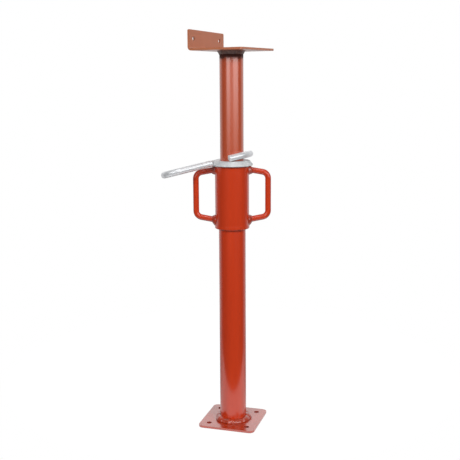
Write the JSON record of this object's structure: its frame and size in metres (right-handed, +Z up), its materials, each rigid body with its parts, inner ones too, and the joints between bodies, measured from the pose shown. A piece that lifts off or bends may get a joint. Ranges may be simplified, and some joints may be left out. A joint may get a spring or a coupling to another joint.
{
  "type": "adjustable steel prop",
  "caption": "Telescopic steel shoring prop with a square base, a threaded adjusting sleeve with bar handles, a bent locking pin on a washer and a folded head plate.",
  "frame": {"origin": "centre of the base plate's underside", "axes": "+Z up along the tubes, X and Y along the base plate's sides"},
  "size_m": [0.2237, 0.1728, 0.8765],
  "materials": {
    "red_paint": "gloss",
    "zinc_plate": "satin"
  },
  "bodies": {
    "outer": {"base_plate": "red_paint", "outer_tube": "red_paint", "base_weld": "red_paint"},
    "washer": {"support_washer": "zinc_plate"},
    "sleeve": {"adjusting_sleeve": "red_paint", "left_handle": "red_paint", "right_handle": "red_paint", "left_handle_welds": "red_paint", "right_handle_welds": "red_paint"},
    "pin": {"g_pin": "zinc_plate"},
    "inner": {"inner_tube": "red_paint", "head_plate": "red_paint", "head_weld": "red_paint"}
  },
  "joints": [
    {"name": "nut_lift", "type": "slide", "parent": "outer", "child": "washer", "axis": [0, 0, 1], "range_m": [0, 0.0801]},
    {"name": "nut_turn", "type": "hinge", "parent": "washer", "child": "sleeve", "pos_m": [0, 0, 0.52], "axis": [0, 0, 1], "range_deg": [0, 3600]},
    {"name": "pin_swivel", "type": "hinge", "parent": "washer", "child": "pin", "pos_m": [0, 0, 0.607], "axis": [0, 0, 1], "continuous": true},
    {"name": "extension", "type": "slide", "parent": "pin", "child": "inner", "axis": [0, 0, 1], "range_m": [0, 0.4]}
  ],
  "couplings": [
    {"joint": "nut_lift", "follows": "nut_turn", "m_per_rad": 0.0012732}
  ]
}
